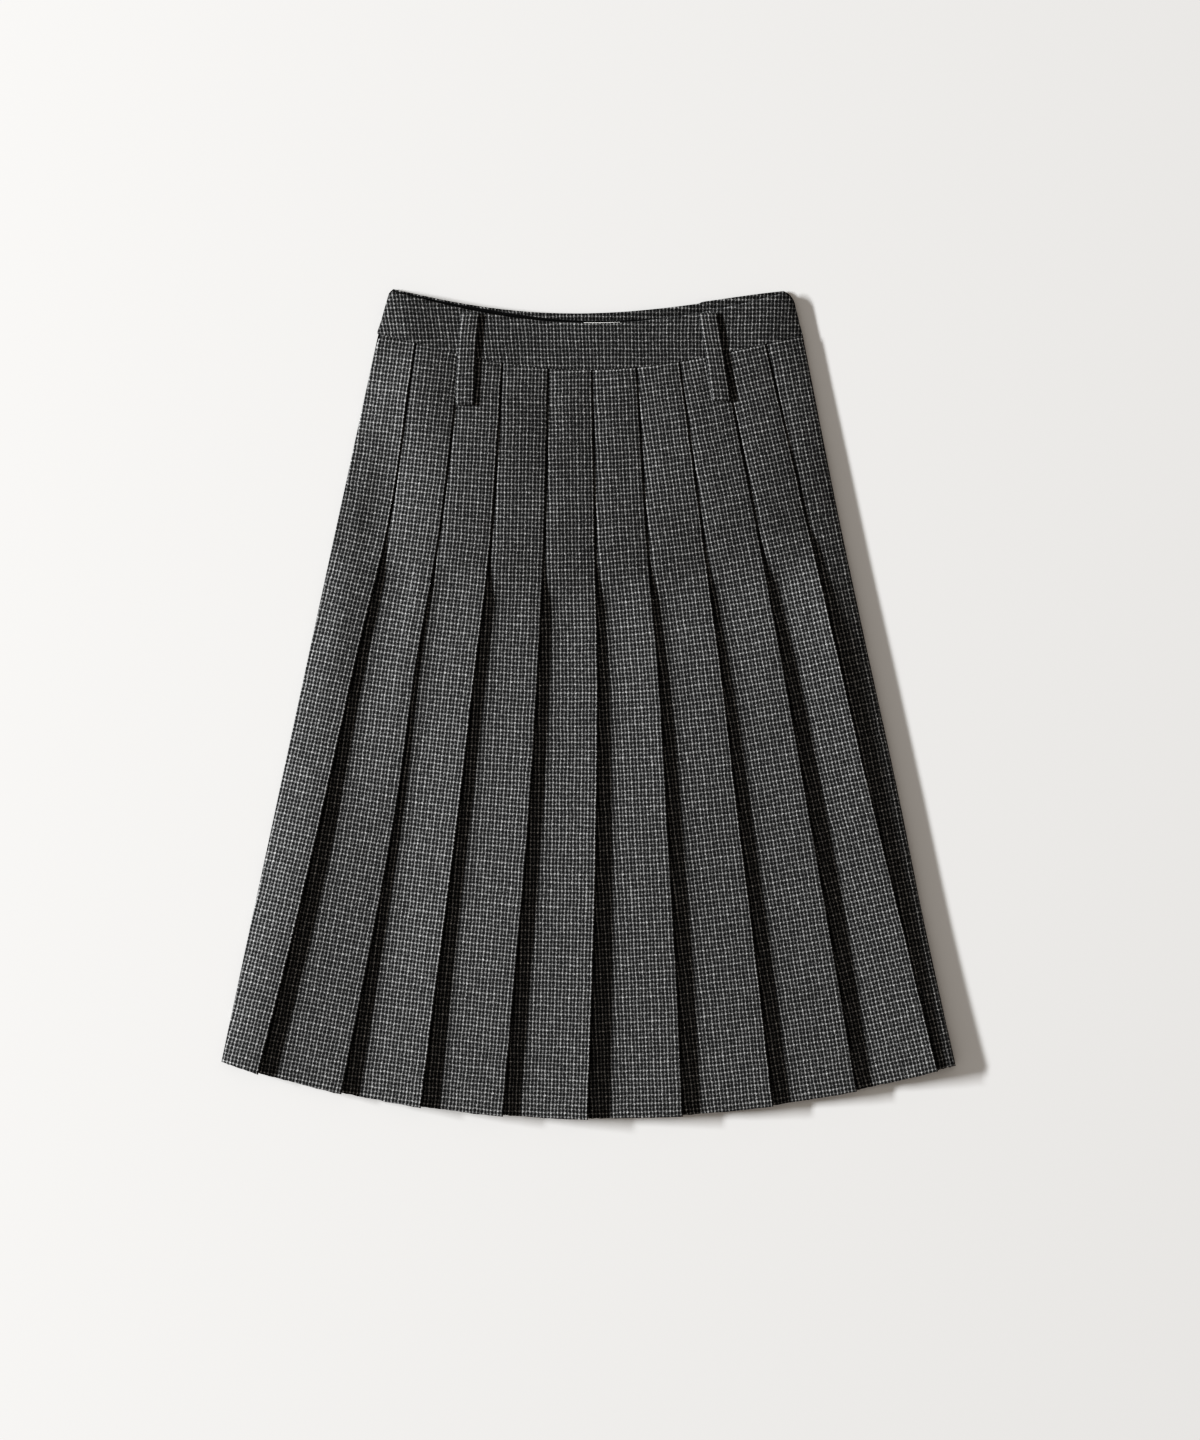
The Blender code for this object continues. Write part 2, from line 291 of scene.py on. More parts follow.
# Soft ridges in the front: middle, half length, half width, height, and bearing from +X
Crease = namedtuple("Crease", "x y length width height bearing")
CREASES = (
    Crease(-187.0, 262.0, 40.0, 9.0, 0.6, 77.0),
    Crease(-209.0, 172.0, 50.0, 9.0, 0.8, 76.0),
    Crease(-226.0, 66.0, 55.0, 11.0, 0.8, 77.0),
    Crease(-188.0, 350.0, 34.0, 32.0, 1.5, 78.0),
    Crease(-149.0, 338.0, 16.0, 9.0, 0.4, 62.0),
    Crease(-74.0, 332.0, 30.0, 7.0, 0.5, -12.0),
    Crease(62.0, 326.0, 26.0, 7.0, 0.4, 12.0),
    Crease(24.0, 296.0, 16.0, 7.0, 0.3, 84.0),
    Crease(-20.0, 262.0, 30.0, 9.0, 0.3, 86.0),
    Crease(96.0, 232.0, 34.0, 9.0, 0.3, -78.0),
    Crease(226.0, 57.0, 50.0, 13.0, 0.9, -72.0),
)

# Weave: spacing of the light yarns across and along the grain, of the ribs of the dark cloth that paints
# shade inside the back band, and of the tape's ribs and ends, in metres
WARP_SPACING = 0.00318
WEFT_SPACING = 0.00371
TWILL_SPACING = 0.0012
TAPE_RIBS = 0.0006
TAPE_ENDS = 0.0004

# How many yarns the grain moves on by from one panel to the next, and how far past a light yarn each
# pressed edge lies, in spacings
YARNS_APART = 9
EDGE_YARN = 0.5

# How sharply each light yarn stands out, how strong every second one is beside its neighbours, and how
# much of the ground the lengthwise yarns, the crosswise yarns and their crossings cover
YARN_SHARPNESS = 3.2
WEAK_YARN = 0.6
WARP_COVER = 0.203
WEFT_COVER = 0.115
CROSSING_COVER = 0.39

# Unevenness: how often it changes each metre, and the least and most that it makes of the cover. Slubs
# run along each yarn, flecks are single fibres and patches are wide. A stitch is one crossing.
STITCH_LEAST = 0.9
STITCH_MOST = 1.1
Uneven = namedtuple("Uneven", "per_metre least most")
SLUBS = Uneven(110.0, 0.94, 1.06)
FLECKS = Uneven(1300.0, 0.25, 1.75)
PATCHES = Uneven(60.0, 0.95, 1.05)
TAPE_SHADE = Uneven(900.0, 0.88, 1.0)

# Yarns wander: how often each metre, and how far in metres
Wander = namedtuple("Wander", "per_metre reach")
WANDERS = (Wander(38.0, 0.0014), Wander(480.0, 0.0016))

# Between which values most of a noise lies, and how far apart the noises of two yarns are taken
NOISE_LEAST = 0.3
NOISE_MOST = 0.7
NOISE_STEP = 7.31

# Finish: how much the flecks add to the relief, the ground's roughness, how much smoother full cover is,
# and the constants of each cloth's shader
FLECK_RELIEF = 0.25
GROUND_ROUGHNESS = 0.95
YARN_SMOOTHNESS = 0.12
WOOL_SPECULAR = 0.12
SHEEN_ROUGHNESS = 0.6
PAINTED_SHADE_ROUGHNESS = 0.9
TAPE_SHEEN = 0.2
TAPE_SPECULAR = 0.5
TAPE_ROUGHNESS = 0.6
TAPE_RELIEF = 0.00005
TAPE_SHADOW = (0.3, 0.29, 0.27, 1.0)

# Stage, in metres: the floor, and the long low lamp with its distance and size. The sky is warmer.
FLOOR_Z = -0.0003
FLOOR_SIZE = 12.0
FLOOR_ROUGHNESS = 0.9
FLOOR_SPECULAR = 0.1
LAMP_DISTANCE = 11.5
LAMP_LENGTH = 4.0
LAMP_WIDTH = 0.5
LAMP_COLOUR = (0.95, 0.967, 0.98)
SKY_COLOUR = (1.0, 0.93, 0.86, 1.0)

# Camera, in metres: how much the view takes in from waist to hem, where the lens stands, and the height
# of the cloth that its distance is measured from. The sensor is in millimetres.
VIEW_HEIGHT = 1.296
VIEW_X = 0.00945
VIEW_Y = -0.01467
SKIRT_HEIGHT = 0.006
SENSOR = 36.0

# Tone curve of the view: a light level and how it shows, with deep shadows
TONES = ((0.0125, 0.0035), (0.03, 0.013), (0.06, 0.038), (0.09, 0.07), (0.13, 0.125), (0.2, 0.225),
         (0.3, 0.35), (0.45, 0.52), (0.7, 0.76))

# How many faces cross each stretch of a section, and the rows from waist to hem
PANEL_STEPS = 16
PANEL_BIAS = 1.25
NOSE_STEPS = 6
RETURN_STEPS = 3
TUCK_STEPS = 5
SIDE_STEPS = 4
FRONT_ROW_COUNT = 112
BACK_ROW_COUNT = 48

# Rows lie closer where there is more to shape: how much closer near the release and at the two ends, and
# how far that reaches, as shares of the way down
ROW_SAMPLES = 2001
RELEASE_ROWS = 2.2
RELEASE_BELOW = 0.03
RELEASE_REACH = 0.05
WAIST_ROWS = 2.0
HEM_ROWS = 1.5
END_REACH = 0.01

# Grain: how finely a pressed edge is measured, how far past its ends, and how often each point's foot on
# it is found anew
GRAIN_SAMPLES = 400
GRAIN_MARGIN = 0.02
FOOT_ROUNDS = 12

# Cut edges: the front's bevel, its number of faces, how sharp an edge it rounds, and how sharp an edge
# still shades smooth
FRONT_EDGE = 0.3
EDGE_FACES = 2
EDGE_ANGLE = 70.0
SMOOTH_ANGLE = 50.0


class SkirtCloth(bpy.types.PropertyGroup):
    """Colours and finish of the wool check."""

    ground: FloatVectorProperty(
        name="Ground",
        description="Colour of the charcoal yarns",
        subtype="COLOR",
        default=(0.0105, 0.0106, 0.011),
        min=0.0,
        max=1.0,
    )
    yarn: FloatVectorProperty(
        name="Light yarn",
        description="Colour of the off-white yarns",
        subtype="COLOR",
        default=(0.72, 0.72, 0.715),
        min=0.0,
        max=1.0,
    )
    relief: FloatProperty(
        name="Yarn relief",
        description="How far the light yarns stand above the ground",
        unit="LENGTH",
        default=0.00012,
        min=0.0,
    )
    sheen: FloatProperty(
        name="Sheen", description="Soft shine of the wool's nap", default=0.04, min=0.0, max=1.0
    )
    label: FloatVectorProperty(
        name="Label",
        description="Colour of the bare label",
        subtype="COLOR",
        default=(0.82, 0.81, 0.78),
        min=0.0,
        max=1.0,
    )


class SkirtStage(bpy.types.PropertyGroup):
    """Floor, light and camera."""

    floor: FloatVectorProperty(
        name="Floor",
        description="Colour of the surface that the skirt lies on",
        subtype="COLOR",
        default=(0.88, 0.87, 0.855),
        min=0.0,
        max=1.0,
    )
    key: FloatProperty(
        name="Key light",
        description="Strength of the low light from the left",
        unit="POWER",
        default=3480.0,
        min=0.0,
    )
    key_elevation: FloatProperty(
        name="Key elevation",
        description="How high the key light stands",
        subtype="ANGLE",
        default=np.radians(16.0),
    )
    key_bearing: FloatProperty(
        name="Key bearing",
        description="How far the key light stands towards the waist from straight left",
        subtype="ANGLE",
        default=np.radians(8.0),
    )
    fill: FloatProperty(name="Fill light", description="Strength of the sky", default=0.27, min=0.0)
    camera_height: FloatProperty(
        name="Camera height",
        description="Distance from the lens to the skirt",
        unit="LENGTH",
        default=3.2,
        min=1.0,
    )


def through(stations, values, at):
    """The one smooth curve through all the values at their stations, read at a place between them."""
    total = 0.0
    for here, value in zip(stations, values):
        weight = 1.0
        for other in stations:
            if other != here:
                weight = weight * (at - other) / (here - other)
        total = total + value * weight
    return total


def ease(share):
    """A smooth step from 0 to 1."""
    share = np.clip(share, 0.0, 1.0)
    return share * share * (3.0 - 2.0 * share)


def larger(first, second, turn):
    """The larger of two heights, rounded where they cross."""
    return 0.5 * (first + second + np.sqrt((first - second) ** 2 + turn**2))


def smooth_line(stations, values, share):
    """A line that bends gently from the value at each station to the next."""
    slopes = np.gradient(values, stations)
    first = np.clip(np.searchsorted(stations, share) - 1, 0, len(stations) - 2)
    start, end = np.take(stations, first), np.take(stations, first + 1)
    length = end - start
    at = (share - start) / length
    bend = at * at * (3.0 - 2.0 * at)
    found = np.take(values, first) * (1.0 - bend) + np.take(values, first + 1) * bend
    found = found + np.take(slopes, first) * length * at * (1.0 - at) ** 2
    return found - np.take(slopes, first + 1) * length * at * at * (1.0 - at)


def line_x(line, share):
    """X of a fold edge at a share of the way from the waist seam to the hem."""
    return smooth_line(LINE_STATIONS, line[: len(LINE_STATIONS)], share)


def swell(x, share):
    """How far the front rises at points of a row."""
    edges = [line_x(line, share) for line in FOLD_LINES]
    heights = [smooth_line(SWELL_STATIONS, heights, share) for heights in SWELLS]
    return np.interp(x, edges, [0.0, *heights, 0.0])


def row_y(seam, share, x):
    """Y of a row that runs from side to side, between the waist seam and the hem arc."""
    first, last = FOLD_LINES[0], FOLD_LINES[-1]
    left, right = line_x(first, share), line_x(last, share)
    across = (x - left) / (right - left)
    hem_x = first.hem + across * (last.hem - first.hem) - HEM_MIDDLE
    hem = HEM_LOW + HEM_RADIUS - np.sqrt(HEM_RADIUS**2 - hem_x**2)
    return (1.0 - share) * through(QUARTERS, seam, across) + share * hem


def creases(x, y):
    """Height of the soft ridges at points of the front."""
    height = 0.0
    for crease in CREASES:
        bearing = np.radians(crease.bearing)
        off_x, off_y = x - crease.x, y - crease.y
        along = (off_x * np.cos(bearing) + off_y * np.sin(bearing)) / crease.length
        across = (off_y * np.cos(bearing) - off_x * np.sin(bearing)) / crease.width
        height = height + crease.height * np.exp(-(along**2) - across**2)
    return height


def turned(centre, radius, start, end, steps):
    """Points round a fold, after its first one."""
    angles = np.radians(np.linspace(start, end, steps + 1)[1:])
    return [(centre[0] + radius * np.cos(a), centre[1] + radius * np.sin(a)) for a in angles]


def front_profile(line, start, end, span, over, opened, trough):
    """Shares across a front panel and its heights. Where it is stitched down it is nearly level;
    where it hangs free it is lowest at the trough and then slopes up to its pressed edge, clear of the
    hidden layers that it lies over from a share on. The first and the last panel bow between a fold
    and a side seam."""
    shares = np.linspace(0.0, 1.0, PANEL_STEPS + 1)[1:-1] ** PANEL_BIAS
    distance = shares * span
    padding = (1.0 - opened) * line.crest * 4.0 * shares * (1.0 - shares)
    if trough is None or over is None:
        bow = SIDE_BOWS[0] if trough is None else SIDE_BOWS[1]
        slope = (1.0 - opened) * shares**2 + opened * shares * (bow - (bow - 1.0) * shares)
        return shares, start + (end - start) * slope + padding
    stitched = end - (end - start) * np.exp(-distance / STITCHED_RISE)
    falling = FREE_LOW + FREE_FALL * (trough - distance)
    rising = FREE_LOW + (end - FREE_LOW) * (distance - trough) / (span - trough)
    free = larger(falling, rising, FREE_ROUND)
    heights = (1.0 - opened) * stitched + opened * free + padding
    lowest = 2.0 * PITCH
    past = (shares - over) / (1.0 - over)
    clear = np.where(
        past > 0.0,
        lowest + (end - lowest - GAP) * past,
        lowest + CLEARING_SLOPE * span * (shares - over),
    )
    return shares, larger(heights, clear, CLEARING_ROUND)


def back_profile(line, start, end, span, over, opened, trough):
    """A back panel comes down to the surface soon after the fold that it leaves, and lies there."""
    shares = np.linspace(0.0, 1.0, PANEL_STEPS // 2 + 1)[1:-1]
    return shares, start + (end - start) * ease(shares * span / SETTLE)


# The front or the back: its fold lines and waist seam, 1 for the front and -1 for the back, which is
# the front's pattern turned about Y, the height of its innermost layer, and the shape of its panels
Side = namedtuple("Side", "lines seam turn inner profile")


class Row:
    """Points (x, height) across a pleated piece, the panel that each stretch after a point belongs to,
    and how far past its pressed edge each point lies, or 0 before it."""

    def __init__(self):
        self.points, self.panels, self.past = [], [], []

    def add(self, points, panel, past=None):
        """Adds points that belong to one panel."""
        self.points += points
        self.panels += [panel] * len(points)
        self.past += [0.0] * len(points) if past is None else list(past)


def panel_height(line, share):
    """Height of a pressed edge of the front, which springs up below the release."""
    below = max(share - RELEASE, 0.0)
    return 2.0 * PITCH + line.spring * (1.0 - np.exp(-below / SPRING)) + line.lift * below / (1.0 - RELEASE)


def add_fold(row, number, end_x, height, tuck):
    """Turns a panel back under its pressed edge, and turns it forward again at the tuck."""
    turn = PITCH / 2.0
    folded = turned((end_x, height - turn), turn, 90.0, -90.0, NOSE_STEPS)
    for step in range(1, RETURN_STEPS + 1):
        way = step / RETURN_STEPS
        level = height - PITCH + (2.0 * PITCH - height) * ease(way)
        folded.append((end_x + (tuck - end_x) * way, level))
    inner = turned((tuck, turn), turn, 90.0, 270.0, TUCK_STEPS)
    cut = TUCK_STEPS // 2
    folded += inner[:cut]
    reach = np.hypot(*np.diff(np.array([(end_x, height), *folded]), axis=0).T).cumsum()
    row.add(folded[:-1], number, reach[:-1])
    row.add(folded[-1:], number + 1, reach[-1:])
    row.add(inner[cut:], number + 1)


def add_underlay(row, number, tuck, riser, top):
    """Lays a panel's hidden part from the tuck to the riser, and brings it up to the panel's start."""
    bend = min(RISER_BEND, top)
    stretch = [(tuck + (riser - tuck) * way, 0.0) for way in UNDERLAY_WAYS]
    stretch.append((riser, (top - bend) / 2.0 + RISER_SHIFT))
    stretch.append((riser, top - bend + 2.0 * RISER_SHIFT))
    stretch.append((riser + RISER_CORNER[0] * bend, top - RISER_CORNER[1] * bend))
    stretch.append((riser + bend, top))
    row.add(stretch, number)


def section(side, share):
    """One row across the front or the back, from its left side seam to its right one."""
    lines, front = side.lines, side.turn > 0.0
    opened = float(ease((share - RELEASE) / OPENING))
    underlay = UNDERLAY_WAIST + (UNDERLAY_HEM - UNDERLAY_WAIST) * share
    outer, half, turn = 2.0 * PITCH, CLOTH / 2.0, PITCH / 2.0
    left, right = line_x(lines[0], share) + half, line_x(lines[-1], share) - half
    tops = [outer - BACK_SIDE_LOW] * 2
    if front:
        left += DRAWN_IN * np.exp(-share / DRAWN_SHARE)
        tops = [through(SIDE_STATIONS, heights, share) for heights in (LEFT_SIDE, RIGHT_SIDE)]
    rounds = [min(SIDE_ROUND, MOST_SIDE_ROUND * (top + half)) for top in tops]
    row = Row()
    row.add([(left, -half), (left, tops[0] - rounds[0])], 0)
    row.add(turned((left + rounds[0], tops[0] - rounds[0]), rounds[0], 180.0, 90.0, SIDE_STEPS), 0)
    trough = None
    for number, line in enumerate(lines[1:-1]):
        fold = line_x(line, share)
        start_x, start_height = row.points[-1]
        end_x = fold - half - turn
        span = end_x - start_x
        height = panel_height(line, share) if front else outer
        tuck = fold - min(underlay, MOST_TUCK * span)
        over = (tuck - start_x) / span
        shares, heights = side.profile(line, start_height, height, span, over, opened, trough)
        slope = (height - heights[-1]) / ((1.0 - shares[-1]) * span)
        row.add(list(zip(start_x + shares * span, heights)), number)
        row.add([(end_x - NOSE_FLAT, height - NOSE_FLAT * slope), (end_x, height)], number)
        add_fold(row, number, end_x, height, tuck)
        trough = FREE_REACH * (height + half)
        stitched, free = outer, BACK_START
        if front:
            step = WAIST_STEP + (STITCHED_STEP - WAIST_STEP) * ease(share / WAIST_SHARE)
            stitched, free = outer - step, FREE_LOW + FREE_FALL * trough
            if number == len(lines) - 3:
                free = height - LAST_STEP
        top = (1.0 - opened) * stitched + opened * free
        add_underlay(row, number + 1, tuck, fold + GAP + half, top)
    start_x, start_height = row.points[-1]
    end_x = right - rounds[1]
    span = end_x - start_x
    shares, heights = side.profile(lines[-1], start_height, tops[1], span, None, opened, trough)
    number = len(lines) - 2
    row.add([*zip(start_x + shares * span, heights), (end_x, tops[1])], number)
    row.add(turned((end_x, tops[1] - rounds[1]), rounds[1], 90.0, 0.0, SIDE_STEPS), number)
    row.add([(right, -half)], number)
    return row


def row_shares(count):
    """Shares from the waist seam to the hem, closer together near the release and at both ends."""
    places = np.linspace(0.0, 1.0, ROW_SAMPLES)
    density = 1.0 + RELEASE_ROWS * np.exp(-(((places - RELEASE - RELEASE_BELOW) / RELEASE_REACH) ** 2))
    density += WAIST_ROWS * np.exp(-places / END_REACH)
    density += HEM_ROWS * np.exp(-(1.0 - places) / END_REACH)
    reached = np.concatenate(([0.0], np.cumsum((density[1:] + density[:-1]) / 2.0)))
    return np.interp(np.linspace(0.0, reached[-1], count), reached, places)


def hanging(lines, share, across, panels):
    """How far across its own panel each point lies, from 0 to 1 at the pressed edge."""
    edges = np.array([line_x(line, share) for line in lines])
    return np.clip((across - edges[panels]) / (edges[panels + 1] - edges[panels]), 0.0, 1.0)


def pleated_points(side, row_count):
    """Points of the front or the back, row by row, with the panel of each stretch between them and
    each point's distance past its pressed edge."""
    rows, reaches = [], []
    for share in row_shares(row_count):
        row = section(side, share)
        panels = np.array(row.panels)
        across, height = np.array(row.points).T
        x = side.turn * across
        y = row_y(side.seam, share, x) - (GAP / 2.0) * (share == 0.0)
        if side.turn > 0.0:
            drop = HEM_DROP * ease((share - RELEASE) / (1.0 - RELEASE))
            y = y - drop * hanging(side.lines, share, across, panels)
            height = height + creases(x, y) + swell(x, share)
        rows.append(np.stack((x, y, side.inner + side.turn * height), axis=-1))
        reaches.append(row.past)
    return np.array(rows), panels, np.array(reaches)


def grain_of(side, rows, panels, reaches):
    """Where both ends of each stretch of each row lie in the cloth's own grain, in metres: across and
    along. The lengthwise yarns run beside the pressed edge at the right of each panel."""
    shares = np.linspace(-GRAIN_MARGIN, 1.0 + GRAIN_MARGIN, GRAIN_SAMPLES)
    plan = rows[..., :2]
    found = np.zeros((rows.shape[0], rows.shape[1] - 1, 2, 2))
    for number, line in enumerate(side.lines[1:]):
        columns = np.flatnonzero(panels[:-1] == number)
        edge_x = side.turn * line_x(line, shares)
        edge = np.stack((edge_x, row_y(side.seam, shares, edge_x)), axis=-1)
        steps = np.diff(edge, axis=0)
        lengths = np.concatenate(([0.0], np.hypot(*steps.T).cumsum()))
        ways = np.gradient(edge, axis=0)
        ways /= np.linalg.norm(ways, axis=1, keepdims=True)
        for corner in (0, 1):
            points = plan[:, columns + corner]
            along = lengths[-1] * np.linspace(0.0, 1.0, rows.shape[0])[:, None] + 0.0 * points[..., 0]
            for _ in range(FOOT_ROUNDS):
                foot = np.stack([np.interp(along, lengths, edge[:, k]) for k in (0, 1)], axis=-1)
                way = np.stack([np.interp(along, lengths, ways[:, k]) for k in (0, 1)], axis=-1)
                along = along + ((points - foot) * way).sum(-1)
            off = points - foot
            across = (way[..., 0] * off[..., 1] - way[..., 1] * off[..., 0]) * side.turn
            past = reaches[:, columns + corner]
            across = np.where(past > 0.0, past - CLOTH / 2.0 - PITCH / 2.0, across)
            yarns = YARNS_APART * number + EDGE_YARN
            found[:, columns, corner, 0] = across + yarns * WARP_SPACING / MM
            found[:, columns, corner, 1] = along
    return found * MM


def clear_selection():
    """Leaves nothing selected."""
    bpy.ops.object.select_all(action="DESELECT")


def cloth_mesh(name, rows, grain, finish):
    """A sheet through rows of points in millimetres, with its grain as a UV map in metres."""
    count, width = rows.shape[:2]
    corner = np.arange(count * width).reshape(count, width)
    faces = np.stack((corner[:-1, :-1], corner[1:, :-1], corner[1:, 1:], corner[:-1, 1:]), axis=-1)
    mesh = bpy.data.meshes.new(name)
    mesh.from_pydata((rows * MM).reshape(-1, 3).tolist(), [], faces.reshape(-1, 4).tolist())
    places = np.stack((grain[:-1, :, 0], grain[1:, :, 0], grain[1:, :, 1], grain[:-1, :, 1]), axis=2)
    layer = mesh.uv_layers.new(name="Grain")
    layer.data.foreach_set("uv", places.astype(np.float32).ravel())
    mesh.materials.append(finish)
    mesh.shade_smooth()
    piece = bpy.data.objects.new(name, mesh)
    bpy.context.collection.objects.link(piece)
    return piece


def add_wall(piece, thickness, edge=0.0):
    """Gives a sheet its wall, half on each side, and rounds its cut edges."""
    solidify = piece.modifiers.new("Cloth wall", "SOLIDIFY")
    solidify.thickness = thickness * MM
    solidify.offset = 0.0
    solidify.use_even_offset = True
    solidify.use_quality_normals = True
    names = ["Cloth wall"]
    if edge:
        bevel = piece.modifiers.new("Cut edges", "BEVEL")
        bevel.width = edge * MM
        bevel.segments = EDGE_FACES
        bevel.limit_method = "ANGLE"
        bevel.angle_limit = np.radians(EDGE_ANGLE)
        names.append("Cut edges")
    clear_selection()
    bpy.context.view_layer.objects.active = piece
    piece.select_set(True)
    for name in names:
        bpy.ops.object.modifier_apply(modifier=name)
    bpy.ops.object.shade_smooth_by_angle(angle=np.radians(SMOOTH_ANGLE))
    piece.select_set(False)


def declare(piece, node):
    """Hides the part that a finished sheet stands for, and hangs the sheet on the root body."""
    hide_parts(node)
    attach(piece, "root")


# Shader building


def put(tree, kind, inputs=None, **settings):
    """Adds a node, sets its properties, and feeds its inputs from numbers or sockets."""
    node = tree.nodes.new(kind)
    for name, value in settings.items():
        setattr(node, name, value)
    for name, value in (inputs or {}).items():
        if isinstance(value, bpy.types.NodeSocket):
            tree.links.new(value, node.inputs[name])
        else:
            node.inputs[name].default_value = value
    return node


def calc(tree, operation, *values, clamp=False):
    """The result of a Math node on up to three numbers or sockets."""
    inputs = dict(enumerate(values))
    return put(tree, "ShaderNodeMath", inputs, operation=operation, use_clamp=clamp).outputs[0]


def spread(tree, value, start, end, low, high):
    """A value between start and end, spread over low to high."""
    inputs = {"Value": value, "From Min": start, "From Max": end, "To Min": low, "To Max": high}
    return put(tree, "ShaderNodeMapRange", inputs, clamp=True).outputs[0]


def uneven_at(tree, vector, uneven, detail, scale=None):
    """A share of the cover that changes from place to place."""
    inputs = {"Vector": vector, "Scale": scale or uneven.per_metre, "Detail": detail}
    noise = put(tree, "ShaderNodeTexNoise", inputs, noise_dimensions="2D").outputs["Fac"]
    return spread(tree, noise, NOISE_LEAST, NOISE_MOST, uneven.least, uneven.most)


def yarn_lines(tree, phase, other):
    """Light yarns at whole numbers of a phase: how much each covers, stronger on every second one,
    and uneven along its length."""
    wave = calc(tree, "COSINE", calc(tree, "MULTIPLY", phase, 2.0 * np.pi))
    line = calc(tree, "POWER", calc(tree, "MULTIPLY_ADD", wave, 0.5, 0.5), YARN_SHARPNESS)
    every_other = calc(tree, "COSINE", calc(tree, "MULTIPLY", phase, np.pi))
    middle, swing = (1.0 + WEAK_YARN) / 2.0, (1.0 - WEAK_YARN) / 2.0
    strong = calc(tree, "MULTIPLY_ADD", every_other, swing, middle)
    number = calc(tree, "MULTIPLY", calc(tree, "ROUND", phase), NOISE_STEP)
    along = calc(tree, "MULTIPLY", other, SLUBS.per_metre)
    place = put(tree, "ShaderNodeCombineXYZ", {"X": number, "Y": along})
    slub = uneven_at(tree, place.outputs[0], SLUBS, 1.0, scale=1.0)
    return calc(tree, "MULTIPLY", calc(tree, "MULTIPLY", line, strong), slub)


def shaken(tree, grain, wander):
    """How far the yarns lie from their even places, in metres."""
    inputs = {"Vector": grain, "Scale": wander.per_metre, "Detail": 1.0}
    noise = put(tree, "ShaderNodeTexNoise", inputs, noise_dimensions="2D")
    inputs = {0: noise.outputs["Color"], 1: (0.5, 0.5, 0.5)}
    centred = put(tree, "ShaderNodeVectorMath", inputs, operation="SUBTRACT")
    inputs = {0: centred.outputs[0], "Scale": wander.reach}
    return put(tree, "ShaderNodeVectorMath", inputs, operation="SCALE").outputs[0]


def weave_group():
    """Light yarns over a charcoal ground, every second one stronger, brightest where they cross."""
    found = bpy.data.node_groups.get("Wool check")
    if found:
        return found
    tree = bpy.data.node_groups.new("Wool check", "ShaderNodeTree")
    sockets = (
        ("Grain", "INPUT", "NodeSocketVector"),
        ("Ground", "INPUT", "NodeSocketColor"),
        ("Yarn", "INPUT", "NodeSocketColor"),
        ("Colour", "OUTPUT", "NodeSocketColor"),
        ("Height", "OUTPUT", "NodeSocketFloat"),
        ("Roughness", "OUTPUT", "NodeSocketFloat"),
    )
    for name, way, kind in sockets:
        tree.interface.new_socket(name, in_out=way, socket_type=kind)
    given = tree.nodes.new("NodeGroupInput")
    grain = given.outputs["Grain"]
    moved = grain
    for wander in WANDERS:
        inputs = {0: moved, 1: shaken(tree, grain, wander)}
        moved = put(tree, "ShaderNodeVectorMath", inputs, operation="ADD").outputs[0]
    parts = put(tree, "ShaderNodeSeparateXYZ", {"Vector": moved})
    across, along = parts.outputs["X"], parts.outputs["Y"]
    warp_phase = calc(tree, "DIVIDE", across, WARP_SPACING)
    weft_phase = calc(tree, "DIVIDE", along, WEFT_SPACING)
    warp = yarn_lines(tree, warp_phase, along)
    weft = yarn_lines(tree, weft_phase, across)
    crossing = calc(tree, "MULTIPLY", warp, weft)
    numbers = {"X": calc(tree, "ROUND", warp_phase), "Y": calc(tree, "ROUND", weft_phase)}
    place = put(tree, "ShaderNodeCombineXYZ", numbers)
    chance = put(tree, "ShaderNodeTexWhiteNoise", {"Vector": place.outputs[0]}, noise_dimensions="2D")
    stitch = spread(tree, chance.outputs["Value"], 0.0, 1.0, STITCH_LEAST, STITCH_MOST)
    fleck = uneven_at(tree, grain, FLECKS, 1.0)
    patch = uneven_at(tree, grain, PATCHES, 2.0)
    cover = calc(tree, "MULTIPLY", warp, WARP_COVER)
    cover = calc(tree, "MULTIPLY_ADD", weft, WEFT_COVER, cover)
    cover = calc(tree, "MULTIPLY_ADD", crossing, CROSSING_COVER, cover)
    cover = calc(tree, "MULTIPLY", cover, stitch)
    cover = calc(tree, "MULTIPLY", cover, fleck)
    cover = calc(tree, "MULTIPLY", cover, patch, clamp=True)
    colour = put(tree, "ShaderNodeMix", data_type="RGBA")
    tree.links.new(cover, colour.inputs["Factor"])
    tree.links.new(given.outputs["Ground"], colour.inputs["A"])
    tree.links.new(given.outputs["Yarn"], colour.inputs["B"])
    height = calc(tree, "MAXIMUM", warp, weft)
    height = calc(tree, "MULTIPLY_ADD", fleck, FLECK_RELIEF, height)
    roughness = calc(tree, "MULTIPLY_ADD", cover, -YARN_SMOOTHNESS, GROUND_ROUGHNESS)
    result = tree.nodes.new("NodeGroupOutput")
    tree.links.new(colour.outputs["Result"], result.inputs["Colour"])
    tree.links.new(height, result.inputs["Height"])
    tree.links.new(roughness, result.inputs["Roughness"])
    return tree


def new_finish(name, specular, roughness):
    """A material with its nodes and its shader."""
    finish = bpy.data.materials.new(name)
    finish.use_nodes = True
    shader = finish.node_tree.nodes["Principled BSDF"]
    shader.inputs["Specular IOR Level"].default_value = specular
    shader.inputs["Roughness"].default_value = roughness
    return finish, finish.node_tree, shader


